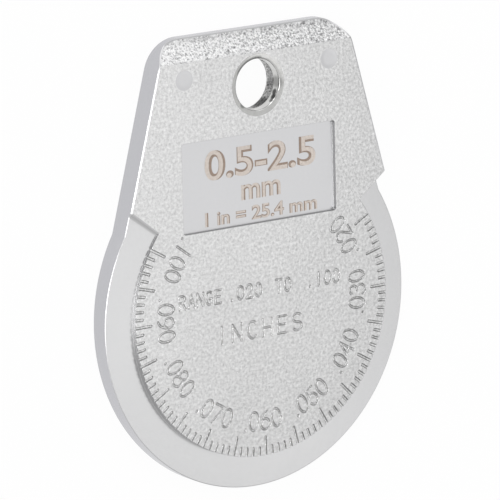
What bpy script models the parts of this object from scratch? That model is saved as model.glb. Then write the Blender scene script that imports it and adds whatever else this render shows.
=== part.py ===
"""Spark plug gap gauge: one die-cast disc with a tapered tab, lying on its flat back.

The rim of the disc is a ramp. Its thickness grows evenly around the disc, and the raised dial
inside it carries one groove for each thousandth of an inch of that thickness.

Frame: the origin is the disc's centre on the flat back, +Z is up out of the dial, and +Y runs up the tab.
"""
import math

import bmesh
import bpy
import numpy as np
from mathutils import Vector

MM = 0.001
INCH = 0.0254

# Disc and ramp
disc_radius = 21.0 * MM
ramp_width = 3.75 * MM
gap_at_start = 0.020 * INCH
gap_at_end = 0.100 * INCH
dial_rise = 0.31 * MM
ramp_overrun = math.radians(5.5)
ramp_foot_radius = 0.10 * MM
rim_chamfer = 0.30 * MM

# Scale
thousandths_on_scale = 80
angle_per_thousandth = math.radians(3.0)
first_mark_angle = math.radians(30.0)
marks_per_long_mark = 5
long_mark_length = 2.27 * MM
short_mark_length = 1.12 * MM
mark_width = 0.36 * MM
mark_floor_width = 0.20 * MM
mark_depth = 0.18 * MM

# Tab
tab_reach = 31.6 * MM
tab_top_half_width = 12.5 * MM
tab_corner_radius = 4.3 * MM
tab_edge_chamfer = 0.32 * MM
lip_thickness = 1.15 * MM
lip_length = 0.65 * MM
bevel_length = 1.80 * MM

# Key-ring hole
hole_from_top = 6.24 * MM
bore_radius = 2.90 * MM
bore_flare = 0.25 * MM
hole_lip_width = 0.56 * MM
hole_lip_depth = 0.42 * MM

# Label recess
recess_width = 21.0 * MM
recess_height = 10.35 * MM
recess_below_hole = 5.40 * MM
recess_depth = 0.45 * MM
recess_draft = 0.12 * MM
recess_corner_radius = 0.35 * MM

# Ejector pin marks
pin_mark_radius = 1.05 * MM
pin_mark_depth = 0.06 * MM
pin_mark_half_spacing = 9.9 * MM
pin_mark_from_top = 4.5 * MM

# Worked out from the sizes above
body_thickness = gap_at_end + dial_rise
dial_radius = disc_radius - ramp_width
last_mark_angle = first_mark_angle - thousandths_on_scale * angle_per_thousandth
ramp_slope = (gap_at_end - gap_at_start) / (first_mark_angle - last_mark_angle)
hole_y = tab_reach - hole_from_top
recess_top = hole_y - recess_below_hole
pin_mark_y = tab_reach - pin_mark_from_top

# How finely curves are cut, and how far a cutter reaches past what it cuts
ramp_step = math.radians(3.0)
corner_steps = 8
hole_steps = 48
lip_steps = 4
foot_steps = 2
recess_corner_steps = 2
pin_mark_steps = 24
sharp_edge_angle = math.radians(25.0)
overcut = 1.0 * MM


def polar(radius, angle):
    """Plan point at a radius and an angle from +X."""
    return Vector((radius * math.cos(angle), radius * math.sin(angle)))


def ramp_thickness(angle):
    """Thickness of the rim at an angle: it grows evenly as the angle falls."""
    return gap_at_start + ramp_slope * (first_mark_angle - angle)


def tab_side():
    """Right side of the tab: from the disc, where the scale starts, to the top's sharp corner."""
    return polar(disc_radius, first_mark_angle), Vector((tab_top_half_width, tab_reach))


def edge_radius(angle):
    """Distance from the centre to the outline: the disc, or past the scale's ends the tab's side."""
    from_start = angle - first_mark_angle
    past_end = last_mark_angle - angle
    if from_start <= 0.0 and past_end <= 0.0:
        return disc_radius
    mirrored = first_mark_angle + max(from_start, past_end)
    foot, corner = tab_side()
    along = corner - foot
    ray = polar(1.0, mirrored)
    return (foot.x * along.y - foot.y * along.x) / (ray.x * along.y - ray.y * along.x)


def rounded_corner(before, corner, after, radius, steps):
    """Points of the arc that rounds a corner, from the side of before to the side of after."""
    to_before = (before - corner).normalized()
    to_after = (after - corner).normalized()
    half = to_before.angle(to_after) / 2.0
    centre = corner + (to_before + to_after).normalized() * (radius / math.sin(half))
    first = corner + to_before * (radius / math.tan(half)) - centre
    turn = math.pi - 2.0 * half
    return [centre + Vector((first.x * math.cos(a) - first.y * math.sin(a),
                             first.x * math.sin(a) + first.y * math.cos(a)))
            for a in np.linspace(0.0, turn, steps + 1)]


def stations(first, last, step):
    """Evenly spaced angles from first to last, no further apart than step."""
    count = max(1, math.ceil(abs(last - first) / step - 1e-6))
    return np.linspace(first, last, count + 1)


def outline():
    """Plan outline, anticlockwise: the disc, the tab's right side, its top and its left side."""
    points = [polar(disc_radius, a) for a in stations(last_mark_angle, first_mark_angle, ramp_step)]
    foot, corner = tab_side()
    mirrored_corner = Vector((-corner.x, corner.y))
    mirrored_foot = Vector((-foot.x, foot.y))
    points += rounded_corner(foot, corner, mirrored_corner, tab_corner_radius, corner_steps)
    points += rounded_corner(corner, mirrored_corner, mirrored_foot, tab_corner_radius, corner_steps)
    return points


def object_from(mesh_builder, name):
    """Object in the scene from a bmesh, with its faces turned outwards."""
    bmesh.ops.recalc_face_normals(mesh_builder, faces=mesh_builder.faces)
    mesh = bpy.data.meshes.new(name)
    mesh_builder.to_mesh(mesh)
    mesh_builder.free()
    made = bpy.data.objects.new(name, mesh)
    bpy.context.scene.collection.objects.link(made)
    return made


def add_closed_sweep(builder, rings):
    """Skin of a row of equal closed rings, with a face over each end."""
    rows = [[builder.verts.new(point) for point in ring] for ring in rings]
    for low, high in zip(rows, rows[1:]):
        for i in range(len(low)):
            j = (i + 1) % len(low)
            builder.faces.new((low[i], low[j], high[j], high[i]))
    builder.faces.new(rows[0])
    builder.faces.new(list(reversed(rows[-1])))


def swept(name, rings):
    """Closed object from a row of equal rings."""
    builder = bmesh.new()
    add_closed_sweep(builder, rings)
    return object_from(builder, name)


def cast_plate():
    """The outline at full thickness, with its front edge chamfered."""
    builder = bmesh.new()
    plan = outline()
    add_closed_sweep(builder, [[(p.x, p.y, z) for p in plan] for z in (0.0, body_thickness)])
    front_edges = [e for e in builder.edges if min(v.co.z for v in e.verts) > body_thickness / 2.0]
    bmesh.ops.bevel(builder, geom=front_edges, offset=tab_edge_chamfer, offset_type='OFFSET',
                    segments=1, affect='EDGES')
    return object_from(builder, "gauge_body")


def ramp_section(angle):
    """Ring of the ramp cutter at one angle.

    It goes down the dial's wall, round the foot fillet, out along the ramp, down past the rim's
    chamfer and back up over the plate.
    """
    thickness = ramp_thickness(angle)
    foot = min(ramp_foot_radius, body_thickness - thickness)
    edge = edge_radius(angle)
    top = body_thickness + overcut
    profile = [(dial_radius, top)]
    for turn in np.linspace(0.0, math.pi / 2.0, foot_steps + 1):
        profile.append((dial_radius + foot * (1.0 - math.cos(turn)),
                        thickness + foot * (1.0 - math.sin(turn))))
    profile.append((edge - rim_chamfer, thickness))
    profile.append((edge + overcut, thickness - rim_chamfer - overcut))
    profile.append((edge + overcut, top))
    return [(*polar(radius, angle), height) for radius, height in profile]


def ramp_cutter():
    """What is taken off the plate's rim: a helical step from the thin end round to the thick end."""
    before = stations(first_mark_angle + ramp_overrun, first_mark_angle, ramp_step)
    scale = stations(first_mark_angle, last_mark_angle, ramp_step)
    after = stations(last_mark_angle, last_mark_angle - ramp_overrun, ramp_step)
    angles = np.concatenate((before, scale[1:], after[1:]))
    return swept("ramp_cutter", [ramp_section(a) for a in angles])


def top_cutter():
    """Bevel at the end of the tab, and the thin flat lip beyond it."""
    lip_start = tab_reach - lip_length
    bevel_start = lip_start - bevel_length
    slope = (body_thickness - lip_thickness) / bevel_length
    side = [
        (bevel_start - overcut / slope, body_thickness + overcut),
        (lip_start, lip_thickness),
        (tab_reach + overcut, lip_thickness),
        (tab_reach + overcut, body_thickness + overcut),
    ]
    reach = tab_top_half_width + disc_radius
    return swept("top_cutter", [[(x, y, z) for y, z in side] for x in (-reach, reach)])


def recess_plan(inset):
    """Plan of the label recess at an inset from its edge, with rounded corners."""
    half = recess_width / 2.0 - inset
    top = recess_top - inset
    bottom = recess_top - recess_height + inset
    corners = [Vector((half, bottom)), Vector((half, top)), Vector((-half, top)), Vector((-half, bottom))]
    points = []
    for i, corner in enumerate(corners):
        following = corners[(i + 1) % len(corners)]
        points += rounded_corner(corners[i - 1], corner, following,
                                 recess_corner_radius, recess_corner_steps)
    return points


def recess_cutter():
    """Shallow rectangular recess with drafted walls."""
    slope = recess_draft / recess_depth
    levels = ((recess_draft, body_thickness - recess_depth), (-overcut * slope, body_thickness + overcut))
    return swept("recess_cutter", [[(p.x, p.y, z) for p in recess_plan(inset)] for inset, z in levels])


def ring_at(centre, radius, height, steps):
    """Horizontal ring of points."""
    turns = np.linspace(0.0, 2.0 * math.pi, steps, endpoint=False)
    return [(centre[0] + radius * math.cos(a), centre[1] + radius * math.sin(a), height) for a in turns]


def hole_cutter():
    """Key-ring hole: it narrows from the back to a waist, then rounds out over the front lip."""
    waist = body_thickness - hole_lip_depth
    profile = [(bore_radius + bore_flare * (1.0 + overcut / waist), -overcut)]
    for turn in np.linspace(0.0, math.pi / 2.0, lip_steps + 1):
        profile.append((bore_radius + hole_lip_width * (1.0 - math.cos(turn)),
                        waist + hole_lip_depth * math.sin(turn)))
    profile.append((bore_radius + hole_lip_width, body_thickness + overcut))
    return swept("hole_cutter", [ring_at((0.0, hole_y), r, z, hole_steps) for r, z in profile])


def pin_mark_cutter():
    """The two shallow round marks that the ejector pins leave beside the hole."""
    builder = bmesh.new()
    for side in (-1.0, 1.0):
        centre = (side * pin_mark_half_spacing, pin_mark_y)
        add_closed_sweep(builder, [ring_at(centre, pin_mark_radius, z, pin_mark_steps)
                                   for z in (body_thickness - pin_mark_depth, body_thickness + overcut)])
    return object_from(builder, "pin_mark_cutter")


def groove_section(angle, radius):
    """Upright ring across a scale groove: narrow at its floor, and as far above the face as below it."""
    across = polar(1.0, angle + math.pi / 2.0)
    middle = polar(radius, angle)
    floor = mark_floor_width / 2.0
    top = mark_width - floor
    places = [(-floor, -mark_depth), (floor, -mark_depth), (top, mark_depth), (-top, mark_depth)]
    return [(*(middle + across * offset), body_thickness + rise) for offset, rise in places]


def scale_cutter():
    """One groove for each thousandth, every fifth one long, running out through the dial's edge."""
    builder = bmesh.new()
    for i in range(thousandths_on_scale + 1):
        angle = first_mark_angle - i * angle_per_thousandth
        length = short_mark_length if i % marks_per_long_mark else long_mark_length
        add_closed_sweep(builder, [groove_section(angle, radius)
                                   for radius in (dial_radius - length, dial_radius + overcut)])
    return object_from(builder, "scale_cutter")


def plated_zinc():
    """Bright plated zinc."""
    material = bpy.data.materials.new("plated_zinc")
    material.use_nodes = True
    shader = material.node_tree.nodes["Principled BSDF"]
    shader.inputs["Base Color"].default_value = (0.72, 0.72, 0.73, 1.0)
    shader.inputs["Metallic"].default_value = 1.0
    shader.inputs["Roughness"].default_value = 0.38
    return material


def cut(body, cutter):
    """Boolean modifier with an exact solver; the cutter itself isn't part of the object."""
    cutter.hide_render = True
    cutter.display_type = 'WIRE'
    modifier = body.modifiers.new(cutter.name, 'BOOLEAN')
    modifier.operation = 'DIFFERENCE'
    modifier.solver = 'EXACT'
    modifier.object = cutter


def build():
    """The cast body and what shapes it, in the order in which the surfaces lie."""
    body = cast_plate()
    for cutter in (ramp_cutter(), top_cutter(), recess_cutter(), hole_cutter(), pin_mark_cutter(),
                   scale_cutter()):
        cut(body, cutter)
    body.data.materials.append(plated_zinc())
    body.data.shade_smooth()
    body.data.set_sharp_from_angle(angle=sharp_edge_angle)


for old in list(bpy.data.objects):
    bpy.data.objects.remove(old, do_unlink=True)
build()
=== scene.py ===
import math

import bmesh
import bpy
import numpy as np
from mathutils import Matrix, Vector
from mathutils.geometry import delaunay_2d_cdt


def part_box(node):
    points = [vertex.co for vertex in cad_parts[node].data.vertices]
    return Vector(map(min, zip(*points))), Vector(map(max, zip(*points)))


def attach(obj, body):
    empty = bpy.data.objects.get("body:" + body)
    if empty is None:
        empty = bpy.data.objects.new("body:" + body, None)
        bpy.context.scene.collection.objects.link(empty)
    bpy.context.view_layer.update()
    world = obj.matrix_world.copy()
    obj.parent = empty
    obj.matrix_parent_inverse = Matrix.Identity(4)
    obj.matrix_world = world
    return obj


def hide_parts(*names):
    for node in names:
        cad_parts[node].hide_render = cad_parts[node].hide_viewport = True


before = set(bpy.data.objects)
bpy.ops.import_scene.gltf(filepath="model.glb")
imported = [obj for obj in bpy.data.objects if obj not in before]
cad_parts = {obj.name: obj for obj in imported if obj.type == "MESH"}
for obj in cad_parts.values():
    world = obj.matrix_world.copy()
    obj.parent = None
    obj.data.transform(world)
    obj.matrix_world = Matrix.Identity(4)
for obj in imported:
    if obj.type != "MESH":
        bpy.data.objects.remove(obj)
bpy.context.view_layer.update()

MM = 0.001

# The camera. The gauge lies on its back, and the camera looks down on the dial from above its left
# side, turned and rolled as in the photograph. The bearing and the lift are measured from straight
# above the dial, towards -X and towards +Y.
camera_bearing = math.radians(34.976)
camera_lift = math.radians(12.334)
camera_roll = math.radians(1.356)
camera_distance = 694.83 * MM
camera_aside = 0.352 * MM
camera_above = 5.866 * MM
camera_lens = 443.4
camera_sensor = 36.0


def camera_axes():
    """Right, up and backward axes of the camera, and its place: two turns from above, then the roll."""
    backward = Vector((-math.sin(camera_bearing) * math.cos(camera_lift), math.sin(camera_lift),
                       math.cos(camera_bearing) * math.cos(camera_lift)))
    level_right = Vector((math.cos(camera_bearing), 0.0, math.sin(camera_bearing)))
    level_up = backward.cross(level_right)
    place = backward * camera_distance + level_right * camera_aside + level_up * camera_above
    right = level_right * math.cos(camera_roll) - level_up * math.sin(camera_roll)
    up = level_right * math.sin(camera_roll) + level_up * math.cos(camera_roll)
    return right, up, backward, place


def make_camera():
    """A long lens, so that the gauge is seen almost without perspective."""
    right, up, backward, place = camera_axes()
    camera = bpy.data.objects.new("camera", bpy.data.cameras.new("camera"))
    camera.data.sensor_width = camera_sensor
    camera.data.lens = camera_lens
    camera.data.clip_start = 0.01
    camera.data.clip_end = 20.0
    turn = Matrix((right, up, backward)).transposed().to_4x4()
    camera.matrix_world = Matrix.Translation(place) @ turn
    bpy.context.scene.collection.objects.link(camera)
    bpy.context.scene.camera = camera


make_camera()
bpy.context.scene.view_settings.view_transform = 'Standard'

# The floor. A plain white sheet under the gauge that keeps its shadow. The camera and the metal see
# it as white, and it can be looked through from below.
floor_half_width = 1.5
floor_white = (0.86, 0.86, 0.86, 1.0)
floor_own_share = 0.95


def floor_material():
    """White paper: a matt white mixed with plain white for the rays that show it."""
    material = bpy.data.materials.new("floor_paper")
    material.use_nodes = True
    nodes, links = material.node_tree.nodes, material.node_tree.links
    nodes.clear()
    output = nodes.new("ShaderNodeOutputMaterial")
    matt = nodes.new("ShaderNodeBsdfDiffuse")
    matt.inputs["Color"].default_value = floor_white
    plain = nodes.new("ShaderNodeEmission")
    path = nodes.new("ShaderNodeLightPath")
    seen = nodes.new("ShaderNodeMath")
    seen.operation = 'MAXIMUM'
    links.new(path.outputs["Is Camera Ray"], seen.inputs[0])
    links.new(path.outputs["Is Glossy Ray"], seen.inputs[1])
    seen_through = nodes.new("ShaderNodeMath")
    seen_through.operation = 'MAXIMUM'
    links.new(seen.outputs[0], seen_through.inputs[0])
    links.new(path.outputs["Is Transmission Ray"], seen_through.inputs[1])
    share = nodes.new("ShaderNodeMath")
    share.operation = 'MULTIPLY'
    share.inputs[1].default_value = floor_own_share
    links.new(seen_through.outputs[0], share.inputs[0])
    mix = nodes.new("ShaderNodeMixShader")
    links.new(share.outputs[0], mix.inputs[0])
    links.new(matt.outputs[0], mix.inputs[1])
    links.new(plain.outputs[0], mix.inputs[2])
    under = nodes.new("ShaderNodeMixShader")
    side = nodes.new("ShaderNodeNewGeometry")
    clear = nodes.new("ShaderNodeBsdfTransparent")
    links.new(side.outputs["Backfacing"], under.inputs[0])
    links.new(mix.outputs[0], under.inputs[1])
    links.new(clear.outputs[0], under.inputs[2])
    links.new(under.outputs[0], output.inputs["Surface"])
    return material


def make_floor():
    """One square, facing up, at the height of the gauge's back."""
    w = floor_half_width
    mesh = bpy.data.meshes.new("floor")
    mesh.from_pydata([(-w, -w, 0.0), (w, -w, 0.0), (w, w, 0.0), (-w, w, 0.0)], [], [(0, 1, 2, 3)])
    floor = bpy.data.objects.new("floor", mesh)
    mesh.materials.append(floor_material())
    bpy.context.scene.collection.objects.link(floor)


make_floor()

# The light. A white studio with soft patches round it, which the metal shows: dark openings low on the
# left, the right and in front, and bright screens low behind the gauge and high on its left. The light
# of two soft lamps near the gauge, over the dial and behind the tab, falls off along it.
studio_level = 0.76
studio_patches = (
    # direction, degrees to its full level, degrees to its end, level
    ((-0.97, -0.21, 0.02), 14.0, 30.0, 0.15),
    ((0.97, -0.21, -0.05), 15.0, 40.0, 0.35),
    ((0.45, -0.88, 0.10), 15.0, 36.0, 0.55),
    ((-0.15, 0.94, 0.28), 18.0, 30.0, 0.95),
    ((-0.46, 0.86, 0.22), 13.0, 22.0, 3.60),
    ((-0.41, -0.09, 0.908), 10.0, 15.0, 4.60),
    ((-0.82, -0.21, 0.53), 9.0, 17.0, 1.70),
)
# name, place, length of its side, level
dial_lamp = ("dial_lamp", (0.072, -0.017, 0.120), 0.07, 0.38)
tab_lamp = ("tab_lamp", (0.057, 0.125, 0.031), 0.05, 0.80)


def studio_world():
    """The world seen by the camera is white; its light is even, with each soft patch laid over it."""
    world = bpy.data.worlds.new("studio")
    world.use_nodes = True
    bpy.context.scene.world = world
    nodes, links = world.node_tree.nodes, world.node_tree.links
    nodes.clear()
    output = nodes.new("ShaderNodeOutputWorld")
    direction = nodes.new("ShaderNodeTexCoord")
    light = nodes.new("ShaderNodeBackground")
    light.inputs["Strength"].default_value = studio_level
    level = light.inputs["Strength"]
    for place, full, end, patch_level in reversed(studio_patches):
        along = nodes.new("ShaderNodeVectorMath")
        along.operation = 'DOT_PRODUCT'
        along.inputs[1].default_value = Vector(place).normalized()
        links.new(direction.outputs["Generated"], along.inputs[0])
        share = nodes.new("ShaderNodeMapRange")
        share.interpolation_type = 'SMOOTHSTEP'
        share.inputs["From Min"].default_value = math.cos(math.radians(end))
        share.inputs["From Max"].default_value = math.cos(math.radians(full))
        links.new(along.outputs["Value"], share.inputs["Value"])
        mix = nodes.new("ShaderNodeMix")
        links.new(share.outputs["Result"], mix.inputs["Factor"])
        mix.inputs["A"].default_value = studio_level
        mix.inputs["B"].default_value = patch_level
        links.new(mix.outputs["Result"], level)
        level = mix.inputs["A"]
    path = nodes.new("ShaderNodeLightPath")
    shown = nodes.new("ShaderNodeBackground")
    mix = nodes.new("ShaderNodeMixShader")
    shown.inputs["Color"].default_value = (1.0, 1.0, 1.0, 1.0)
    light.inputs["Color"].default_value = (1.0, 1.0, 1.0, 1.0)
    links.new(path.outputs["Is Camera Ray"], mix.inputs[0])
    links.new(light.outputs[0], mix.inputs[1])
    links.new(shown.outputs[0], mix.inputs[2])
    links.new(mix.outputs[0], output.inputs["Surface"])


def soft_lamp(name, place, size, level):
    """Square lamp that faces the gauge. Its power gives it the stated level: power = level x pi x area."""
    lamp = bpy.data.lights.new(name, 'AREA')
    lamp.shape = 'SQUARE'
    lamp.size = size
    lamp.energy = level * math.pi * size * size
    made = bpy.data.objects.new(name, lamp)
    made.location = place
    made.rotation_mode = 'QUATERNION'
    made.rotation_quaternion = Vector(place).to_track_quat('Z', 'Y')
    bpy.context.scene.collection.objects.link(made)


studio_world()
soft_lamp(*dial_lamp)
soft_lamp(*tab_lamp)

# The casting. One zinc die casting, bright plated: a disc whose rim is a helical ramp, with a tapered
# tab above it. The mould's stipple is left on the dial, the tab, the bevel and the back, while the
# ramp, the sides, the label recess and the hole's throat come out smooth.
gauge_low, gauge_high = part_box("gauge_body")
face_height = gauge_high[2]
disc_radius = (gauge_high[0] - gauge_low[0]) / 2.0
tab_reach = gauge_high[1]
dial_radius = disc_radius - 3.75 * MM
thin_rim = 0.508 * MM
thick_rim = 2.540 * MM
scale_start = math.radians(30.0)
scale_end = math.radians(-210.0)
ramp_overrun = math.radians(5.5)
ramp_end_rise = math.radians(1.6)
tab_top_half_width = 12.5 * MM
tab_corner_radius = 4.3 * MM
front_chamfer = 0.20 * MM
rim_chamfer = 0.09 * MM
back_rounding = 0.10 * MM
# The chamfer from the side to the front: inset and drop below the front, as shares of its width.
chamfer_profile = (
    (0.0, 0.694), (0.014, 0.605), (0.055, 0.525), (0.096, 0.480), (0.144, 0.444),
    (0.840, 0.043), (0.917, 0.011), (1.0, 0.0),
)
foot_fillet = 0.04 * MM
dial_rounding = 0.06 * MM
lip_thickness = 1.15 * MM
lip_length = 0.65 * MM
bevel_length = 1.80 * MM
bevel_crease = 0.10 * MM
lip_crease = 0.20 * MM
hole_x = 0.10 * MM
hole_y = tab_reach - 6.24 * MM
recess_half_width = 10.5 * MM
recess_top = hole_y - 5.40 * MM
recess_bottom = recess_top - 10.35 * MM
recess_corner = 0.35 * MM
recess_depth = 0.45 * MM
pin_mark_x = 9.9 * MM
pin_mark_y = tab_reach - 4.5 * MM
pin_mark_depth = 0.03 * MM

STIPPLED, BEVEL, SMOOTH, SIDE, POLISHED, THROAT, BORE, MARKED = range(8)
CURVED, UPRIGHT_SIDE, RAMP_FACE, DIAL_WALL, BEVEL_FACE, FLAT_FACE = range(6)


def tab_side_points():
    """Foot and top corner of the tab's right side, in plan."""
    foot = np.array([disc_radius * math.cos(scale_start), disc_radius * math.sin(scale_start)])
    return foot, np.array([tab_top_half_width, tab_reach])


def side_normal():
    """Unit vector in plan out of the tab's right side."""
    foot, corner = tab_side_points()
    along = (corner - foot) / np.linalg.norm(corner - foot)
    return np.array([along[1], -along[0]])


def rim_plan(angles):
    """Points of the outline at these angles, and the inward step for each metre of inset.

    The outline is the disc between the scale's ends, and past them the tab's side, which a ray at
    angle a meets at radius d / cos(a - s), where d is the side's distance from the centre and s the
    direction of its normal.
    """
    normal = side_normal()
    foot, _ = tab_side_points()
    offset = foot @ normal
    lean = math.atan2(normal[1], normal[0])
    past = np.maximum(angles - scale_start, scale_end - angles)
    on_side = past > 1e-9
    at_corner = np.abs(past) <= 1e-9
    side_radius = offset / np.cos(scale_start + past - lean)
    radius = np.where(on_side, side_radius, disc_radius)
    radial = np.column_stack((np.cos(angles), np.sin(angles)))
    mirrored = np.where(angles < (scale_start + scale_end) / 2.0, -1.0, 1.0)
    side = np.column_stack((mirrored * normal[0], np.full(len(angles), normal[1])))
    mitre = (radial + side) / (1.0 + np.sum(radial * side, axis=1))[:, None]
    outward = np.where(on_side[:, None], side, radial)
    outward = np.where(at_corner[:, None], mitre, outward)
    return radial * radius[:, None], -outward


def smooth_step(x):
    """0 below 0, 1 above 1, and 3x^2 - 2x^3 between."""
    x = np.clip(x, 0.0, 1.0)
    return x * x * (3.0 - 2.0 * x)


def share_risen(angles):
    """0 on the ramp, 1 on the tab, and a soft step at each end of the ramp, a little past the scale."""
    past = np.maximum(angles - scale_start, scale_end - angles) - ramp_overrun
    return smooth_step(past / ramp_end_rise)


def rim_thickness(angles):
    """Thickness of the ramp: linear in the angle, rising steeply to the face past both ends."""
    slope = (thick_rim - thin_rim) / (scale_start - scale_end)
    ramp = thin_rim + slope * (scale_start - angles)
    return ramp + (face_height - ramp) * share_risen(angles)


def soft_ramp(x, k):
    """Zero, then x, joined by a parabola from -k to k."""
    return np.where(x < -k, 0.0, np.where(x > k, x, (x + k) ** 2 / (4.0 * k)))


def tab_height(y):
    """Height of the tab's front along Y: the face, the bevel down from it, and the thin lip."""
    bevel_start = tab_reach - lip_length - bevel_length
    slope = (face_height - lip_thickness) / bevel_length
    down = soft_ramp(y - bevel_start, bevel_crease) - soft_ramp(y - bevel_start - bevel_length, lip_crease)
    return face_height - slope * down


def corner_angles():
    """Angles round the tab's right corner, with the inset outline crossing each crease in small steps."""
    normal = side_normal()
    start = math.atan2(normal[1], normal[0])
    centre, radius = corner_circle()
    inner = radius - front_chamfer
    bevel_start = tab_reach - lip_length - bevel_length
    crease = np.linspace(-1.0, 1.0, 7)
    levels = np.concatenate((bevel_start + bevel_crease * crease,
                             bevel_start + bevel_length + lip_crease * crease))
    turns = np.arcsin((levels - centre[1]) / inner)
    return np.union1d(np.round(np.linspace(start, math.pi / 2.0, 24), 6), np.round(turns, 6))


def corner_circle():
    """Centre and radius of the arc that rounds the tab's right corner."""
    foot, corner = tab_side_points()
    normal = side_normal()
    y = corner[1] - tab_corner_radius
    x = (corner @ normal - tab_corner_radius - y * normal[1]) / normal[0]
    return np.array([x, y]), tab_corner_radius


def tab_plan():
    """Right and left corners of the tab: outline points, and the inward step for a metre of inset."""
    centre, radius = corner_circle()
    turns = corner_angles()
    outward = np.column_stack((np.cos(turns), np.sin(turns)))
    right = centre + radius * outward
    flip = np.array([-1.0, 1.0])
    points = np.vstack((right, (right * flip)[::-1]))
    steps = np.vstack((-outward, (-outward * flip)[::-1]))
    return points, steps


def edge_section(top, front, back):
    """Insets and heights of the wall from the back to the front: quarter round, upright, soft chamfer.

    The rows are stations and the columns go up the wall. top is the height of the front edge, back is
    the radius of the rounding at the back, and front is the inset of the chamfer.
    """
    turn = np.linspace(0.0, math.pi / 2.0, 5)[None, :]
    low = np.tile(back * (1.0 - np.cos(turn)), (len(top), 1))
    low_inset = np.tile(back * (1.0 - np.sin(turn)), (len(top), 1))
    chamfer = np.array(chamfer_profile)[None, :, :] * front[:, None, None]
    return np.hstack((low_inset, chamfer[:, :, 0])), np.hstack((low, top[:, None] - chamfer[:, :, 1]))


def outer_wall(angles):
    """Grid of the outline's wall, anticlockwise from the ramp's thick end: points[station, column]."""
    rim_points, rim_steps = rim_plan(angles)
    tab_points, tab_steps = tab_plan()
    points = np.vstack((rim_points, tab_points))
    steps = np.vstack((rim_steps, tab_steps))
    rim_front = rim_chamfer + (front_chamfer - rim_chamfer) * share_risen(angles)
    front = np.concatenate((rim_front, np.full(len(tab_points), front_chamfer)))
    inner = points + steps * front[:, None]
    top = np.concatenate((rim_thickness(angles), tab_height(inner[len(angles):, 1])))
    inset, height = edge_section(top, front, back_rounding)
    plan = points[:, None, :] + steps[:, None, :] * inset[:, :, None]
    return np.dstack((plan, height))


def turned(centre, radius, height, turns):
    """Grid of a profile turned round an upright axis. radius may differ from turn to turn."""
    x = centre[0] + radius * np.cos(turns)[:, None]
    y = centre[1] + radius * np.sin(turns)[:, None]
    return np.dstack((x, y, np.broadcast_to(height, x.shape)))


def full_turn(steps):
    """Angles of one turn, without the last one, which is the first again."""
    return np.linspace(0.0, 2.0 * math.pi, steps, endpoint=False)


def hole_surface():
    """The key-ring hole: a soft dish round it, a rounded lip, a smooth throat that narrows to a ridge
    where the two halves of the mould met, and a rougher bore that widens to the back.

    The dish stops short of the bevel, so its rings draw in towards the tab's end: the ring at share s
    of the dish reaches lip + s x the distance from the lip to the dish's limit in that direction. The
    profiles are radii and depths below the face, and for the back heights, in millimetres. With the grid
    comes the number of its columns down to the ridge.
    """
    lip_radius = 3.55 * MM
    dish_radius = 4.20 * MM
    dish_margin = 0.06 * MM
    throat_top = 2.91
    lip_foot = 0.33
    lip_rounding = 0.23
    bore_end = 3.07
    back_flare = 0.15
    bevel_start = tab_reach - lip_length - bevel_length - bevel_crease
    turns = full_turn(144)
    limit = (bevel_start - dish_margin - hole_y) / np.maximum(np.sin(turns), 0.05)
    reach = np.minimum(dish_radius, limit) - lip_radius
    share = np.array([1.0, 0.68, 0.37, 0.15, 0.0])
    dish = lip_radius + reach[:, None] * share[None, :]
    dish_depth = [0.0, 0.002, 0.008, 0.015, 0.022]
    slope = [(3.50, 0.033), (3.42, 0.046), (3.30, 0.067), (3.18, 0.090)]
    rounded = np.radians(np.linspace(14.0, 90.0, 9))
    lip = slope + [(throat_top + lip_rounding * (1.0 - math.sin(a)), lip_foot - lip_rounding * math.cos(a))
                   for a in rounded]
    throat = [(2.90, 0.75), (2.89, 0.92), (2.87, 1.05)]
    ridge = [(2.84, 1.14), (2.80, 1.19), (2.83, 1.24), (2.91, 1.29)]
    bore = [(2.95, 1.45), (3.01, 2.0), (3.06, 2.55)]
    inner = np.array(lip + throat + ridge + bore) * MM
    flare = np.linspace(0.0, math.pi / 2.0, 6)
    back = np.column_stack((bore_end + back_flare * (1.0 - np.cos(flare)),
                            back_flare * (1.0 - np.sin(flare)))) * MM
    radius = np.hstack((dish, np.tile(inner[:, 0], (len(turns), 1)), np.tile(back[:, 0], (len(turns), 1))))
    height = np.concatenate((face_height - np.array(dish_depth) * MM, face_height - inner[:, 1],
                             back[:, 1]))
    polished = len(share) + len(lip) + len(throat) + 1
    return turned((hole_x, hole_y), radius, height, turns), polished


def pin_mark_surface(side):
    """The round, slightly sunk print of an ejector pin, with a soft edge."""
    radius = np.array([1.16, 1.10, 1.02, 0.84, 0.70, 0.60]) * MM
    rise = np.array([0.0, -0.05, -0.2, -0.8, -0.95, -1.0]) * pin_mark_depth
    return turned((side * pin_mark_x, pin_mark_y), radius, face_height + rise, full_turn(48))


def recess_surface():
    """Walls of the label recess: a rounded rectangle, inset more and more as the profile goes down."""
    profile = np.array([(-0.02, 0.0), (-0.01, 0.003), (-0.003, 0.01), (0.0, 0.02),
                        (0.04, 0.41), (0.045, 0.43), (0.06, 0.445), (0.09, 0.45)]) * MM
    middle = (recess_top + recess_bottom) / 2.0
    half = np.array([recess_half_width, (recess_top - recess_bottom) / 2.0])
    turns = np.concatenate([q * math.pi / 2.0 + np.linspace(0.0, math.pi / 2.0, 7) for q in range(4)])
    quadrant = np.repeat(np.arange(4), 7)
    signs = np.array([(1, 1), (-1, 1), (-1, -1), (1, -1)])[quadrant]
    centres = signs * (half - recess_corner) + np.array([0.0, middle])
    outward = np.column_stack((np.cos(turns), np.sin(turns)))
    radius = recess_corner - profile[:, 0]
    plan = centres[:, None, :] + outward[:, None, :] * radius[None, :, None]
    height = np.broadcast_to(face_height - profile[:, 1], plan.shape[:2])
    return np.dstack((plan, height))


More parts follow.
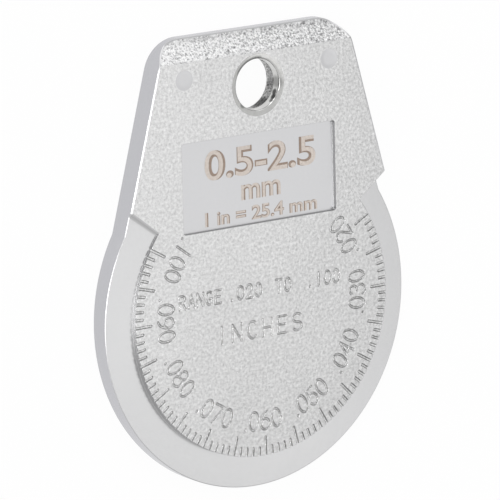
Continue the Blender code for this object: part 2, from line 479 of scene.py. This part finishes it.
# The scale marks. One groove for each thousandth of an inch that the rim grows, sunk in the dial and
# running out through its edge; every fifth one is long.
thousandths = 80
marks_per_long_mark = 5
long_mark = 2.27 * MM
short_mark = 1.12 * MM
mark_half_width = 0.19 * MM
mark_depth = 0.18 * MM
stroke_wall = 0.11 * MM
least_depth = 0.0005 * MM


def stroke_section(distance, half_width, depth):
    """Depth of a flat-bottomed stroke at a distance from its middle. Its walls are soft steps."""
    sunk = depth * smooth_step((half_width - distance) / stroke_wall)
    return np.where(sunk > least_depth, sunk, 0.0)


def rim_stations():
    """Stations round the rim, anticlockwise: the angle at each, and how far it lies beside its mark.

    A station beside a mark runs parallel to it, at a fixed distance, so that a groove's edge follows
    one line of the grid. The stations close together past the scale are where the ramp's ends rise.
    """
    spacing = (scale_start - scale_end) / thousandths
    wall = mark_half_width - stroke_wall * np.linspace(0.0, 1.0, 7)
    beside = np.concatenate((-wall, [0.0], wall[::-1]))
    marks = np.linspace(scale_end, scale_start, thousandths + 1)
    angle = np.repeat(marks, len(beside))
    offset = np.tile(beside, len(marks))
    between = (marks[:-1] + marks[1:]) / 2.0
    first = scale_end - ramp_overrun - ramp_end_rise
    rise = np.linspace(0.0, ramp_end_rise, 13)
    run = np.linspace(scale_end - ramp_overrun, scale_end - spacing / 2.0, 5)[1:]
    before = np.concatenate((first + rise, run))
    after = (scale_start + scale_end - before)[::-1]
    angle = np.concatenate((angle, between, before, after))
    offset = np.concatenate((offset, np.zeros(len(angle) - len(offset))))
    order = np.argsort(angle + offset / dial_radius, kind='stable')
    return angle[order], offset[order]


def mark_radii():
    """Radii across the marks from the dial's edge inwards, close together over their rounded ends."""
    end = np.linspace(1.0, 0.0, 7) * mark_half_width
    short_end = dial_radius - short_mark + end
    long_end = dial_radius - long_mark + end
    outer = np.linspace(dial_radius - 2.0 * dial_rounding, short_end[0], 3)
    between = np.linspace(short_end[-1], long_end[0], 4)
    return np.concatenate((outer[:-1], short_end, between[1:-1], long_end))


def mark_depths(angle, offset, radius):
    """Depth of the marks at a grid of stations and radii: straight grooves with a rounded inner end."""
    number = np.round((scale_start - angle) / (scale_start - scale_end) * thousandths)
    on_mark = np.isclose(scale_start - number * (scale_start - scale_end) / thousandths, angle, atol=1e-7)
    length = np.where(number % marks_per_long_mark == 0, long_mark, short_mark)[:, None]
    short_of_end = np.maximum(dial_radius - length + mark_half_width - radius, 0.0)
    distance = np.hypot(offset[:, None], short_of_end)
    depth = stroke_section(distance, mark_half_width, mark_depth)
    return np.where(on_mark[:, None] & (distance < mark_half_width * (1.0 - 1e-6)), depth, 0.0)


def ramp_and_marks(angle, offset, inner_edge):
    """Grid of the ramp, the dial's wall and the marks: from the rim's chamfer in to the foot fillet, up
    the wall and in over the marks.

    The fillet and the rounding at the top shrink with the wall, so that they close where the ramp's
    ends reach the face. Where a groove is lower than the wall's edge, the edge comes down to it.
    """
    thickness = rim_thickness(angle + offset / dial_radius)
    wall = face_height - thickness
    foot = np.minimum(foot_fillet, 0.6 * wall)[:, None]
    top = np.minimum(dial_rounding, 0.3 * wall)[:, None]
    turn = np.linspace(0.0, math.pi / 2.0, 7)[None, :]
    upper_turn = turn[:, ::2]
    inward = np.tile(mark_radii(), (len(angle), 1))
    radius = np.hstack((dial_radius + foot * (1.0 - np.sin(turn)),
                        dial_radius - top * (1.0 - np.cos(upper_turn)), inward))
    height = np.hstack((thickness[:, None] + foot * (1.0 - np.cos(turn)),
                        face_height - top * (1.0 - np.sin(upper_turn)), np.full(inward.shape, face_height)))
    height = np.minimum(height, face_height - mark_depths(angle, offset, radius))
    bearing = angle[:, None] + offset[:, None] / np.minimum(radius, dial_radius)
    grid = np.dstack((radius * np.cos(bearing), radius * np.sin(bearing), height))
    return np.concatenate((inner_edge[:, None, :], grid), axis=1)


# The dial numerals. Figures of single flat-bottomed strokes with soft walls, sunk in the dial, one group
# for each ten thousandths. Their tops point to the dial's centre and each begins with its decimal point.
label_count = 9
first_label = 20
label_step = 10
label_spacing = math.radians(30.0)
numeral_radius = 13.2 * MM
numeral_height = 2.1 * MM
numeral_width = 1.15 * MM
numeral_pitch = 1.55 * MM
# Places of a label's characters and the ends of its patch, in pitches from its long mark.
numeral_places = (-1.65, -1.0, 0.0, 1.0)
patch_start = -2.0
patch_end = 1.6
numeral_depth = 0.18 * MM
stroke_half_width = 0.155 * MM
stroke_grid = 0.048 * MM


def arc(cx, cy, rx, ry, start, end):
    """Points of an elliptical arc in a glyph's cell, one unit wide and high, between angles in degrees."""
    turns = np.radians(np.linspace(start, end, max(4, int(abs(end - start) / 12.0))))
    return [np.column_stack((cx + rx * np.cos(turns), cy + ry * np.sin(turns)))]


def bars(*points):
    """One path of straight strokes through the points."""
    return [np.array(points, dtype=float)]


# Strokes of the characters, in a cell one unit wide and high.
GLYPHS = {
    ".": bars((0.5, 0.02), (0.5, 0.06)),
    "0": arc(0.5, 0.5, 0.5, 0.5, 90, 450),
    "1": bars((0.5, 0.0), (0.5, 1.0)),
    "2": arc(0.5, 0.70, 0.48, 0.30, 165, -30) + bars((0.915, 0.55), (0.0, 0.0), (1.0, 0.0)),
    "3": arc(0.47, 0.75, 0.42, 0.25, 155, -90) + arc(0.45, 0.26, 0.50, 0.26, 90, -155),
    "4": bars((0.72, 0.0), (0.72, 1.0), (0.0, 0.30), (1.0, 0.30)),
    "5": bars((0.92, 1.0), (0.14, 1.0), (0.06, 0.54)) + arc(0.45, 0.33, 0.50, 0.33, 140, -150),
    "6": arc(0.5, 0.30, 0.5, 0.30, 0, 360) + arc(0.9, 0.30, 0.9, 0.70, 100, 180),
    "7": bars((0.0, 1.0), (1.0, 1.0), (0.30, 0.0)),
    "8": arc(0.5, 0.76, 0.40, 0.24, 0, 360) + arc(0.5, 0.26, 0.5, 0.26, 0, 360),
    "9": arc(0.5, 0.70, 0.5, 0.30, 0, 360) + arc(0.1, 0.70, 0.9, 0.70, -80, 0),
}


def stroke_glyph(character, middle, right, width, height):
    """Paths of one character: its cell is centred on middle, and right points along its line."""
    right = np.asarray(right, dtype=float)
    up = np.array([-right[1], right[0]])
    return [middle + (path[:, :1] - 0.5) * width * right + (path[:, 1:] - 0.5) * height * up
            for path in GLYPHS[character]]


def sunk_strokes(plan, paths, half_width, depth):
    """Grid of the face at the plan points, pressed in along the paths.

    The distance of a point from the paths is the least of its distances from their straight pieces.
    """
    starts = np.vstack([path[:-1] for path in paths])
    steps = np.vstack([np.diff(path, axis=0) for path in paths])
    away = plan[:, :, None, :] - starts
    share = np.clip(np.sum(away * steps, axis=-1) / np.sum(steps * steps, axis=-1), 0.0, 1.0)
    distance = np.linalg.norm(away - share[..., None] * steps, axis=-1).min(axis=-1)
    return np.dstack((plan, face_height - stroke_section(distance, half_width, depth)))


def numeral_patches():
    """One patch of the dial for each label, .020 to .100, centred on its long mark."""
    patches = []
    reach = numeral_height / 2.0 + stroke_half_width + 2.0 * stroke_grid
    radius = np.arange(numeral_radius - reach, numeral_radius + reach, stroke_grid)
    pitch = numeral_pitch / numeral_radius
    for i in range(label_count):
        label = ".%03d" % (first_label + label_step * i)
        label_angle = scale_start - i * label_spacing
        paths = []
        for place, character in zip(numeral_places, label):
            angle = label_angle + place * pitch
            middle = numeral_radius * np.array([math.cos(angle), math.sin(angle)])
            right = (-math.sin(angle), math.cos(angle))
            paths += stroke_glyph(character, middle, right, numeral_width, numeral_height)
        across = np.arange(patch_start * pitch, patch_end * pitch, stroke_grid / numeral_radius)
        angles = label_angle + across
        plan = np.dstack((radius * np.cos(angles)[:, None], radius * np.sin(angles)[:, None]))
        patches.append(sunk_strokes(plan, paths, stroke_half_width, numeral_depth))
    return patches


# The words on the dial. Letters sunk with the same cutter: the range in small letters, and the unit
# below it.
GLYPHS.update({
    "A": bars((0.0, 0.0), (0.5, 1.0), (1.0, 0.0)) + bars((0.2, 0.36), (0.8, 0.36)),
    "C": arc(0.55, 0.5, 0.55, 0.5, 50, 310),
    "E": bars((1.0, 1.0), (0.0, 1.0), (0.0, 0.0), (1.0, 0.0)) + bars((0.0, 0.52), (0.8, 0.52)),
    "G": arc(0.52, 0.5, 0.52, 0.5, 50, 325) + bars((0.96, 0.22), (0.96, 0.45), (0.55, 0.45)),
    "H": bars((0.0, 0.0), (0.0, 1.0)) + bars((1.0, 0.0), (1.0, 1.0)) + bars((0.0, 0.5), (1.0, 0.5)),
    "I": bars((0.5, 0.0), (0.5, 1.0)),
    "N": bars((0.0, 0.0), (0.0, 1.0), (1.0, 0.0), (1.0, 1.0)),
    "O": arc(0.5, 0.5, 0.5, 0.5, 90, 450),
    "R": bars((0.0, 0.0), (0.0, 1.0), (0.5, 1.0)) + arc(0.5, 0.75, 0.45, 0.25, 90, -90)
         + bars((0.0, 0.5), (0.5, 0.5), (1.0, 0.0)),
    "S": arc(0.5, 0.75, 0.48, 0.25, 35, 270) + arc(0.5, 0.25, 0.5, 0.25, 90, -145),
    "T": bars((0.0, 1.0), (1.0, 1.0)) + bars((0.5, 1.0), (0.5, 0.0)),
})
range_height = 1.50 * MM
range_width = 0.80 * MM
range_pitch = 1.22 * MM
range_words = (("RANGE", -10.9 * MM), (".020", -4.2 * MM), ("TO", 2.3 * MM), (".100", 6.6 * MM))
range_y = 2.0 * MM
unit_height = 1.95 * MM
unit_width = 1.20 * MM
unit_pitch = 2.08 * MM
unit_x = -5.65 * MM
unit_y = -2.5 * MM
word_depth = 0.17 * MM
word_half_width = 0.15 * MM


def word_patch(word, first_x, y, pitch, width, height):
    """A patch of the dial for a word along +X, with its first character's middle at first_x."""
    paths = []
    for i, character in enumerate(word):
        paths += stroke_glyph(character, np.array([first_x + i * pitch, y]), (1.0, 0.0), width, height)
    margin = word_half_width + 2.0 * stroke_grid
    half_width = (len(word) - 1) * pitch / 2.0
    half = np.array([half_width + width / 2.0 + margin, height / 2.0 + margin])
    x = np.arange(-half[0], half[0], stroke_grid) + first_x + half_width
    y = np.arange(-half[1], half[1], stroke_grid) + y
    plan = np.stack(np.meshgrid(x, y, indexing='ij'), axis=-1)
    return sunk_strokes(plan, paths, word_half_width, word_depth)


def word_patches():
    """The range line and the unit word."""
    patches = [word_patch(word, first_x, range_y, range_pitch, range_width, range_height)
               for word, first_x in range_words]
    patches.append(word_patch("INCHES", unit_x, unit_y, unit_pitch, unit_width, unit_height))
    return patches


# The casting put together. Its curved surfaces are joined at their seams and closed with flat faces,
# and each face takes the finish that its part of the mould gives it.
level_tolerance = 0.0001 * MM
join_distance = 0.0005 * MM
# Rounds of putting back quads, until none touch at a corner only.
corner_passes = 6
# Columns of the grids at which one finish gives way to the next, and the column of the dial's wall.
chamfer_column = 5
dial_wall_column = 7
marks_column = 11
dish_columns = 5


def grid_faces(grid, first, closed):
    """Quads of a grid of points[row, column], as indices from first, and the column of each quad.

    closed joins the last row to the first. A quad that lies wholly in the face is left out, for the
    face to fill, unless it would leave two others touching at a corner only.
    """
    rows, columns = grid.shape[:2]
    index = np.arange(rows * columns).reshape(rows, columns)
    following = np.roll(index, -1, axis=0)
    if not closed:
        index, following = index[:-1], following[:-1]
    quads = np.stack((index[:, :-1], following[:, :-1], following[:, 1:], index[:, 1:]), axis=-1)
    level = np.abs(grid[..., 2].ravel()[quads] - face_height) < level_tolerance
    kept = ~level.all(axis=-1)
    for _ in range(corner_passes):
        corner = ((kept[:-1, :-1] & kept[1:, 1:] & ~kept[:-1, 1:] & ~kept[1:, :-1])
                  | (kept[:-1, 1:] & kept[1:, :-1] & ~kept[:-1, :-1] & ~kept[1:, 1:]))
        kept[:-1, :-1] |= corner
        kept[1:, 1:] |= corner
        kept[:-1, 1:] |= corner
        kept[1:, :-1] |= corner
    return quads[kept] + first, np.broadcast_to(np.arange(columns - 1), kept.shape)[kept]


def bevel_ladder(edge, rim_count):
    """Quads across the bevel and the lip, between the tab's right and left inner edges at equal Y."""
    half = (len(edge) - rim_count) // 2
    right = rim_count + np.arange(half)
    left = len(edge) - 1 - np.arange(half)
    keep = edge[right, 1] >= tab_reach - lip_length - bevel_length - bevel_crease - 1e-7
    right, left = right[keep], left[keep]
    return np.column_stack((left[:-1], right[:-1], right[1:], left[1:]))


def body_arrays():
    """Points, quads, and for each quad its finish and its plane.

    The plane is a number for each broad surface that is flat or nearly so: the upright sides, the ramp,
    the dial's wall and the bevel. All the small curved surfaces share one number.
    """
    angle, offset = rim_stations()
    wall = outer_wall(angle + offset / dial_radius)
    ramp = ramp_and_marks(angle, offset, wall[:len(angle), -1])
    hole, polished = hole_surface()
    parts = [(wall[:, :chamfer_column + 1], True, SIDE, {chamfer_column - 1: UPRIGHT_SIDE}),
             (wall[:, chamfer_column:], True, POLISHED, {}),
             (ramp[:, :marks_column + 1], False, SMOOTH, {0: RAMP_FACE, dial_wall_column: DIAL_WALL}),
             (ramp[:, marks_column:], False, MARKED, {}),
             (hole[:, :dish_columns], True, STIPPLED, {}),
             (hole[:, dish_columns - 1:polished], True, THROAT, {}),
             (hole[:, polished - 1:], True, BORE, {}),
             (recess_surface(), True, SMOOTH, {}),
             (pin_mark_surface(-1), True, POLISHED, {}),
             (pin_mark_surface(1), True, POLISHED, {})]
    parts += [(patch, False, MARKED, {}) for patch in numeral_patches() + word_patches()]
    points, quads, finishes, planes = [], [], [], []
    first = 0
    for grid, closed, finish, broad in parts:
        faces, column = grid_faces(grid, first, closed)
        plane = np.full(len(faces), CURVED, dtype=np.int32)
        for number, value in broad.items():
            plane[column == number] = value
        points.append(grid.reshape(-1, 3))
        quads.append(faces)
        planes.append(plane)
        finishes.append(np.full(len(faces), finish))
        first += grid.shape[0] * grid.shape[1]
    points.append(wall[:, -1])
    ladder = bevel_ladder(wall[:, -1], len(angle)) + first
    quads.append(ladder)
    planes.append(np.full(len(ladder), BEVEL_FACE))
    finishes.append(np.full(len(ladder), BEVEL))
    return np.vstack(points), np.vstack(quads), np.concatenate(finishes), np.concatenate(planes)


def inside_loops(points, starts, ends):
    """Whether each point lies inside the loops.

    It does where the ray from it towards +X crosses the loops an odd number of times.
    """
    order = np.argsort(points[:, 1])
    x, y = points[order].T
    first = np.searchsorted(y, np.minimum(starts[:, 1], ends[:, 1]))
    last = np.searchsorted(y, np.maximum(starts[:, 1], ends[:, 1]))
    odd = np.zeros(len(points), dtype=bool)
    for i in np.flatnonzero(last > first):
        level_with = slice(first[i], last[i])
        share = (y[level_with] - starts[i, 1]) / (ends[i, 1] - starts[i, 1])
        odd[level_with] ^= x[level_with] < starts[i, 0] + share * (ends[i, 0] - starts[i, 0])
    inside = np.empty(len(points), dtype=bool)
    inside[order] = odd
    return inside


def fill_level(builder, height, finish):
    """Flat face over the open loops that lie at one height: the outer loop with the others as holes.

    The corners of the loops are joined into triangles, and those outside the loops are left out.
    """
    rims = [e for e in builder.edges
            if len(e.link_faces) == 1 and all(abs(v.co.z - height) < level_tolerance for v in e.verts)]
    corners = list(dict.fromkeys(v for e in rims for v in e.verts))
    number = {corner: i for i, corner in enumerate(corners)}
    lines = np.array([[number[v] for v in e.verts] for e in rims])
    plan = np.array([v.co[:2] for v in corners]) / MM
    joined = delaunay_2d_cdt([Vector(place) for place in plan], lines.tolist(), [], 0, 1e-6)
    triangles = np.array([[joined[3][k][0] for k in triangle] for triangle in joined[2]])
    inside = inside_loops(plan[triangles].mean(axis=1), plan[lines[:, 0]], plan[lines[:, 1]])
    plane = builder.faces.layers.int["plane"]
    for triangle in triangles[inside]:
        face = builder.faces.new([corners[k] for k in triangle])
        face.material_index = finish
        face[plane] = FLAT_FACE


def crease_between_planes(mesh):
    """Shade smooth within each plane, and crisply where a plane ends."""
    plane = np.empty(len(mesh.polygons), dtype=np.int32)
    mesh.attributes["plane"].data.foreach_get("value", plane)
    sides = np.empty(len(mesh.polygons), dtype=np.int32)
    mesh.polygons.foreach_get("loop_total", sides)
    edge = np.empty(len(mesh.loops), dtype=np.int32)
    mesh.loops.foreach_get("edge_index", edge)
    plane_of_corner = np.repeat(plane, sides)
    lowest = np.full(len(mesh.edges), FLAT_FACE, dtype=np.int32)
    highest = np.full(len(mesh.edges), CURVED, dtype=np.int32)
    np.minimum.at(lowest, edge, plane_of_corner)
    np.maximum.at(highest, edge, plane_of_corner)
    mesh.polygons.foreach_set("use_smooth", np.ones(len(mesh.polygons), dtype=bool))
    mesh.edges.foreach_set("use_edge_sharp", lowest != highest)
    mesh.update()


def casting():
    """One closed mesh of all the surfaces, joined at their seams and filled at each flat level."""
    points, quads, finishes, planes = body_arrays()
    used, quads = np.unique(quads, return_inverse=True)
    mesh = bpy.data.meshes.new("gauge_casting")
    mesh.from_pydata(points[used].tolist(), [], quads.reshape(-1, 4).tolist())
    mesh.polygons.foreach_set("material_index", finishes.astype(np.int32))
    mesh.attributes.new("plane", 'INT', 'FACE').data.foreach_set("value", planes.astype(np.int32))
    builder = bmesh.new()
    builder.from_mesh(mesh)
    bmesh.ops.remove_doubles(builder, verts=builder.verts, dist=join_distance)
    bmesh.ops.dissolve_degenerate(builder, edges=builder.edges, dist=level_tolerance)
    fill_level(builder, 0.0, STIPPLED)
    fill_level(builder, face_height, STIPPLED)
    fill_level(builder, face_height - recess_depth, POLISHED)
    fill_level(builder, face_height - pin_mark_depth, POLISHED)
    bmesh.ops.recalc_face_normals(builder, faces=builder.faces)
    builder.to_mesh(mesh)
    builder.free()
    crease_between_planes(mesh)
    made = bpy.data.objects.new("gauge_casting", mesh)
    bpy.context.scene.collection.objects.link(made)
    return made


def grain_group():
    """Mould grain of the plated casting: fine pits, wider unevenness, specks and a faint cloud of tone."""
    wave_scale = 700.0
    cloud_scale = 160.0
    speck_shift = (0.31, 0.17, 0.05)
    group = bpy.data.node_groups.new("cast_grain", 'ShaderNodeTree')
    sockets = group.interface
    for name, value in (("Grain Scale", 5200.0), ("Grain Depth", 1e-5), ("Wave Depth", 1e-5),
                        ("Specks", 0.1), ("Cloud", 0.03)):
        socket = sockets.new_socket(name, in_out='INPUT', socket_type='NodeSocketFloat')
        socket.default_value = value
    sockets.new_socket("Height", in_out='OUTPUT', socket_type='NodeSocketFloat')
    sockets.new_socket("Tone", in_out='OUTPUT', socket_type='NodeSocketFloat')
    nodes, links = group.nodes, group.links
    given = nodes.new("NodeGroupInput")
    out = nodes.new("NodeGroupOutput")
    place = nodes.new("ShaderNodeTexCoord")

    def noise(scale, detail, roughness):
        made = nodes.new("ShaderNodeTexNoise")
        made.inputs["Detail"].default_value = detail
        made.inputs["Roughness"].default_value = roughness
        links.new(place.outputs["Object"], made.inputs["Vector"])
        if scale is None:
            links.new(given.outputs["Grain Scale"], made.inputs["Scale"])
        else:
            made.inputs["Scale"].default_value = scale
        return made

    def calculate(operation, a, b):
        made = nodes.new("ShaderNodeMath")
        made.operation = operation
        for socket, value in zip(made.inputs, (a, b)):
            if isinstance(value, float):
                socket.default_value = value
            else:
                links.new(value, socket)
        return made.outputs[0]

    fine = noise(None, 3.0, 0.65)
    wide = noise(wave_scale, 2.0, 0.5)
    cloud = noise(cloud_scale, 3.0, 0.55)
    specks = noise(None, 2.0, 0.7)
    shifted = nodes.new("ShaderNodeVectorMath")
    shifted.operation = 'ADD'
    shifted.inputs[1].default_value = speck_shift
    links.new(place.outputs["Object"], shifted.inputs[0])
    links.new(shifted.outputs[0], specks.inputs["Vector"])
    pits = calculate('MULTIPLY', fine.outputs[0], given.outputs["Grain Depth"])
    waves = calculate('MULTIPLY', wide.outputs[0], given.outputs["Wave Depth"])
    links.new(calculate('ADD', pits, waves), out.inputs["Height"])
    drift = calculate('MULTIPLY', calculate('SUBTRACT', cloud.outputs[0], 0.5), given.outputs["Cloud"])
    glints = calculate('MULTIPLY', calculate('SUBTRACT', specks.outputs[0], 0.5), given.outputs["Specks"])
    links.new(calculate('ADD', drift, glints), out.inputs["Tone"])
    return group


cast_grain = grain_group()
# Painted shade on steep walls: the upward parts of the surface's normal at which a wall is painted darkest,
# and at which it has its full tone.
painted_shade_steepest = 0.60
painted_shade_gentlest = 0.92


def plating(name, colour, roughness, painted_shade_share, grain_inputs, spots=(), drift=(0.0, 0.0, 0.0)):
    """Bright zinc plating over the mould's grain, with painted light and painted shade in its colour.

    Painted shade: the colour is darkened on the steep walls of marks, letters and recesses, down to the
    share of tone given after the roughness. grain_inputs are the inputs of the grain's group. spots are
    places of painted shade, each a point, a radius and the share of tone left. drift is painted light: the
    change of tone by metre, lighter towards one side of the part.
    """
    material = bpy.data.materials.new(name)
    material.use_nodes = True
    nodes, links = material.node_tree.nodes, material.node_tree.links
    shader = nodes["Principled BSDF"]
    shader.inputs["Metallic"].default_value = 1.0
    shader.inputs["Roughness"].default_value = roughness
    texture = nodes.new("ShaderNodeGroup")
    texture.node_tree = cast_grain
    for input_name, value in grain_inputs.items():
        texture.inputs[input_name].default_value = value
    bump = nodes.new("ShaderNodeBump")
    bump.inputs["Distance"].default_value = 1.0
    links.new(texture.outputs["Height"], bump.inputs["Height"])
    links.new(bump.outputs["Normal"], shader.inputs["Normal"])
    place = nodes.new("ShaderNodeTexCoord")
    # Painted light: the tone changes steadily along drift, lighter towards one side of the part.
    along = nodes.new("ShaderNodeVectorMath")
    along.operation = 'DOT_PRODUCT'
    along.inputs[1].default_value = drift
    links.new(place.outputs["Object"], along.inputs[0])
    change = nodes.new("ShaderNodeMath")
    links.new(texture.outputs["Tone"], change.inputs[0])
    links.new(along.outputs["Value"], change.inputs[1])
    tint = nodes.new("ShaderNodeMixRGB")
    tint.blend_type = 'ADD'
    tint.inputs[0].default_value = 1.0
    tint.inputs[1].default_value = (*colour, 1.0)
    links.new(change.outputs[0], tint.inputs[2])
    # Painted shade: the colour is darkened on steep walls, by the upward part of the normal.
    upward = nodes.new("ShaderNodeSeparateXYZ")
    links.new(place.outputs["Normal"], upward.inputs[0])
    share = nodes.new("ShaderNodeMapRange")
    share.inputs["From Min"].default_value = painted_shade_steepest
    share.inputs["From Max"].default_value = painted_shade_gentlest
    share.inputs["To Min"].default_value = painted_shade_share
    links.new(upward.outputs["Z"], share.inputs["Value"])
    shares = [share]
    # Painted shade: the colour is darkened round each spot.
    for centre, radius, left in spots:
        away = nodes.new("ShaderNodeVectorMath")
        away.operation = 'DISTANCE'
        away.inputs[1].default_value = centre
        links.new(place.outputs["Object"], away.inputs[0])
        share = nodes.new("ShaderNodeMapRange")
        share.interpolation_type = 'SMOOTHSTEP'
        share.inputs["From Min"].default_value = 0.4 * radius
        share.inputs["From Max"].default_value = radius
        share.inputs["To Min"].default_value = left
        links.new(away.outputs["Value"], share.inputs["Value"])
        shares.append(share)
    colour_so_far = tint.outputs[0]
    for share in shares:
        toned = nodes.new("ShaderNodeMixRGB")
        toned.blend_type = 'MULTIPLY'
        toned.inputs[0].default_value = 1.0
        links.new(colour_so_far, toned.inputs[1])
        links.new(share.outputs["Result"], toned.inputs[2])
        colour_so_far = toned.outputs[0]
    links.new(colour_so_far, shader.inputs["Base Color"])
    return material


def grain(scale, depth, wave_depth, specks, cloud):
    """Inputs of the grain's group by name."""
    return {"Grain Scale": scale, "Grain Depth": depth, "Wave Depth": wave_depth,
            "Specks": specks, "Cloud": cloud}


def in_the_hole(degrees, radius, depth):
    """Point at an angle round the hole, a radius from its axis and a depth below the face, in mm."""
    turn = math.radians(degrees)
    return (hole_x + radius * MM * math.cos(turn), hole_y + radius * MM * math.sin(turn),
            face_height - depth * MM)


# Painted shade in the hole: spots that darken the lip and the throat, most at the lower right, with a row
# of them along the upper left of the lip.
lip_painted_shade = (
    # middle, radius, share of tone left
    (in_the_hole(-2.0, 2.90, 0.60), 0.95 * MM, 0.50),
    (in_the_hole(-25.0, 2.88, 0.65), 0.50 * MM, 0.15),
    (in_the_hole(-36.0, 2.90, 0.50), 0.50 * MM, 0.10),
    (in_the_hole(-46.0, 2.92, 0.45), 0.38 * MM, 0.30),
    *((in_the_hole(turn, 2.97, 0.22), 0.46 * MM, 0.54) for turn in range(84, 152, 7)),
    (in_the_hole(225.0, 2.97, 0.22), 0.50 * MM, 0.50),
)
# Painted shade deeper in the bore.
bore_painted_shade = (
    (in_the_hole(-60.0, 3.05, 1.90), 1.40 * MM, 0.15),
    (in_the_hole(-10.0, 3.05, 1.80), 1.00 * MM, 0.55),
)
# Painted light: each drift below makes its plating lighter towards one side of the part, as the light falls
# off across it.
stippled_plating = plating("stippled_plating", (0.75, 0.75, 0.75), 0.34, 1.0,
                           grain(2800.0, 9.0e-5, 2.0e-5, 0.75, 0.10), drift=(-2.8, 1.2, 0.0))
bevel_plating = plating("bevel_plating", (0.76, 0.76, 0.765), 0.28, 1.0,
                        grain(3800.0, 14.0e-5, 3.0e-5, 2.6, 0.06), drift=(-8.0, 0.0, 0.0))
smooth_plating = plating("smooth_plating", (0.66, 0.66, 0.665), 0.26, 0.65,
                         grain(2500.0, 0.3e-5, 0.5e-5, 0.04, 0.03), drift=(-2.0, -3.5, 0.0))
# Painted shade: the sides' own smooth finish is painted darker and bluer than the other smooth plating, as
# the upright walls look in shade.
side_plating_painted_shade = plating("side_plating_painted_shade", (0.54, 0.54, 0.565), 0.25, 1.0,
                       grain(2500.0, 0.3e-5, 0.5e-5, 0.04, 0.03))
polished_plating = plating("polished_plating", (0.62, 0.62, 0.63), 0.28, 1.0,
                           grain(2500.0, 0.2e-5, 0.3e-5, 0.03, 0.02))
throat_plating_painted_shade = plating("throat_plating_painted_shade", (0.63, 0.63, 0.62), 0.16, 1.0,
                         grain(1800.0, 1.0e-5, 4.0e-5, 0.15, 0.15), spots=lip_painted_shade)
# Painted shade: the bore's colour is dark, as the inside of the hole lies in shade.
bore_plating_painted_shade = plating("bore_plating_painted_shade", (0.40, 0.40, 0.40), 0.30, 1.0,
                       grain(4200.0, 18.0e-5, 12.0e-5, 2.40, 0.30), spots=bore_painted_shade)
marked_plating = plating("marked_plating", (0.71, 0.71, 0.71), 0.26, 0.68,
                         grain(3200.0, 9.0e-5, 2.0e-5, 1.00, 0.10), drift=(-2.8, 1.2, 0.0))

gauge_casting = casting()
for finish in (stippled_plating, bevel_plating, smooth_plating, side_plating_painted_shade, polished_plating,
               throat_plating_painted_shade, bore_plating_painted_shade, marked_plating):
    gauge_casting.data.materials.append(finish)
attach(gauge_casting, "root")
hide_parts("gauge_body")

# The label. Plain lettering burnt into the recess by a laser: the range in millimetres and the length
# of an inch. The burnt lines are brown at their edges and paler in the middle.
burnt_lines = (
    # text, top below the recess's upper edge, height, width, growth of the edge
    ("0.5-2.5", 1.35 * MM, 3.40 * MM, 15.2 * MM, 0.035),
    ("mm", 5.80 * MM, 1.75 * MM, 5.4 * MM, 0.030),
    ("1 in = 25.4 mm", 8.30 * MM, 1.65 * MM, 15.4 * MM, 0.034),
)
burnt_x = 0.45 * MM
burnt_lift = 0.004 * MM
burnt_roughness = 0.6
mottle_scale = 4000.0


def burnt_material(name, colour):
    """Matt burnt metal, mottled."""
    material = bpy.data.materials.new(name)
    material.use_nodes = True
    nodes, links = material.node_tree.nodes, material.node_tree.links
    shader = nodes["Principled BSDF"]
    shader.inputs["Roughness"].default_value = burnt_roughness
    place = nodes.new("ShaderNodeTexCoord")
    mottle = nodes.new("ShaderNodeTexNoise")
    mottle.inputs["Scale"].default_value = mottle_scale
    links.new(place.outputs["Object"], mottle.inputs["Vector"])
    mix = nodes.new("ShaderNodeMixRGB")
    mix.inputs[1].default_value = (*[0.8 * c for c in colour], 1.0)
    mix.inputs[2].default_value = (*[1.2 * c for c in colour], 1.0)
    links.new(mottle.outputs[0], mix.inputs[0])
    links.new(mix.outputs[0], shader.inputs["Base Color"])
    return material


def burnt_text(text, top, height, width, growth, lift, material):
    """One line of lettering as a flat mesh, stretched to its height and width.

    growth thickens its strokes.
    """
    curve = bpy.data.curves.new("lettering", 'FONT')
    curve.body = text
    curve.offset = growth
    drawn = bpy.data.objects.new("lettering", curve)
    bpy.context.scene.collection.objects.link(drawn)
    bpy.context.view_layer.update()
    mesh = bpy.data.meshes.new_from_object(drawn.evaluated_get(bpy.context.evaluated_depsgraph_get()))
    bpy.data.objects.remove(drawn)
    place = np.empty(len(mesh.vertices) * 3, dtype=np.float32)
    mesh.vertices.foreach_get("co", place)
    place = place.reshape(-1, 3)
    low, high = place.min(axis=0), place.max(axis=0)
    share = (place[:, :2] - low[:2]) / (high - low)[:2]
    place[:, 0] = burnt_x + (share[:, 0] - 0.5) * width
    place[:, 1] = recess_top - top + (share[:, 1] - 1.0) * height
    place[:, 2] = face_height - recess_depth + lift
    mesh.vertices.foreach_set("co", place.ravel())
    mesh.update()
    mesh.materials.clear()
    mesh.materials.append(material)
    made = bpy.data.objects.new("burnt_lettering", mesh)
    bpy.context.scene.collection.objects.link(made)
    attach(made, "root")


burnt_edge = burnt_material("burnt_edge", (0.30, 0.23, 0.185))
burnt_middle = burnt_material("burnt_middle", (0.60, 0.535, 0.485))
for text, top, height, width, growth in burnt_lines:
    burnt_text(text, top, height, width, growth, burnt_lift, burnt_edge)
    burnt_text(text, top, height, width, 0.0, 2.0 * burnt_lift, burnt_middle)
